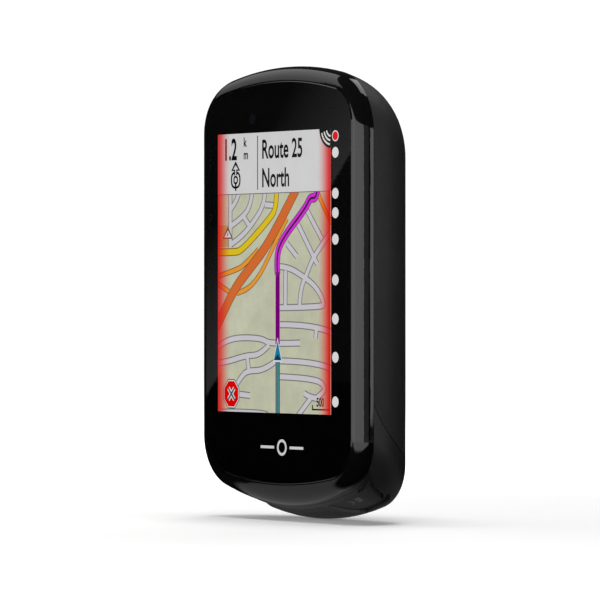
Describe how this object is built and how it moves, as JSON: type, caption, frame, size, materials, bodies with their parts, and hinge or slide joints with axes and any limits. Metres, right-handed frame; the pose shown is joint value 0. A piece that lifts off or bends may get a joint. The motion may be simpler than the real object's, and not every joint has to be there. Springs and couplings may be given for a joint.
{
  "type": "handlebar cycling computer",
  "caption": "Upright handlebar cycling computer with a glass touch screen, glossy bezel, rounded housing, push keys, rubber port cap and quarter-turn mount.",
  "frame": {"origin": "middle of the end face of the quarter-turn mount on the back", "axes": "+Z towards the top edge of the screen, +X to the right as the rider sees it, +Y out of the back along the mount's axis"},
  "size_m": [0.05, 0.0196, 0.0827],
  "materials": {
    "glass": "clear toughened cover glass",
    "mask": "black adhesive frame",
    "lcd": "lit colour map picture",
    "backlight": "white light guide in a tray",
    "flex": "amber polyimide ribbon",
    "connector": "ivory moulded plug",
    "chip": "moulded chip package",
    "bezel": "polished black",
    "seal": "soft silicone",
    "frame": "satin black",
    "housing": "fine grained black",
    "mount": "glass-filled nylon",
    "screw": "dark zinc plate",
    "board": "green solder mask",
    "spacer": "turned brass",
    "shield": "tinned steel",
    "ceramic_tile": "sintered ceramic",
    "buzzer": "black moulded can",
    "battery_wrap": "silver pouch foil",
    "foam": "closed-cell foam",
    "lead": "insulated wire",
    "membrane": "expanded membrane",
    "cap": "satin moulded rubber",
    "key": "satin rubberised",
    "plunger": "white nylon",
    "switch": "switch housing"
  },
  "bodies": {
    "housing": {"cover_glass": "glass", "bonding_frame": "mask", "lcd_panel": "lcd", "backlight_unit": "backlight", "lcd_flex": "flex", "lcd_connector": "connector", "light_sensor": "chip", "front_bezel": "bezel", "housing_seal": "seal", "mid_frame": "frame", "rear_cover": "housing", "mount_insert": "mount", "case_screws": "screw", "main_pcb": "board", "board_screws": "screw", "board_spacers": "spacer", "processor_can": "shield", "radio_can": "shield", "processor_chip": "chip", "memory_chip": "chip", "radio_chip": "chip", "barometer": "shield", "gps_antenna": "ceramic_tile", "wireless_antenna": "ceramic_tile", "buzzer": "buzzer", "usb_receptacle": "shield", "battery": "battery_wrap", "battery_pad": "foam", "battery_leads": "lead", "battery_socket": "connector", "vent_membrane": "membrane", "cap_anchor": "cap", "power_switch": "switch", "power_seal": "seal", "start_stop_switch": "switch", "start_stop_seal": "seal", "lap_switch": "switch", "lap_seal": "seal"},
    "power_key": {"power_button": "key", "power_plunger": "plunger"},
    "start_stop_key": {"start_stop_button": "key", "start_stop_plunger": "plunger"},
    "lap_key": {"lap_button": "key", "lap_plunger": "plunger"},
    "port_cap": {"weather_cap": "cap"}
  },
  "joints": [
    {"name": "power_press", "type": "slide", "parent": "housing", "child": "power_key", "axis": [1, 0, 0], "range_m": [0, 0.0004], "stiffness_N_per_m": 2000},
    {"name": "start_stop_press", "type": "slide", "parent": "housing", "child": "start_stop_key", "axis": [0, 0, 1], "range_m": [0, 0.0004], "stiffness_N_per_m": 2000},
    {"name": "lap_press", "type": "slide", "parent": "housing", "child": "lap_key", "axis": [0, 0, 1], "range_m": [0, 0.0004], "stiffness_N_per_m": 2000},
    {"name": "cap_hinge", "type": "hinge", "parent": "housing", "child": "port_cap", "pos_m": [0, -0.00765, -0.0415], "axis": [1, 0, 0], "range_deg": [0, 110]}
  ]
}
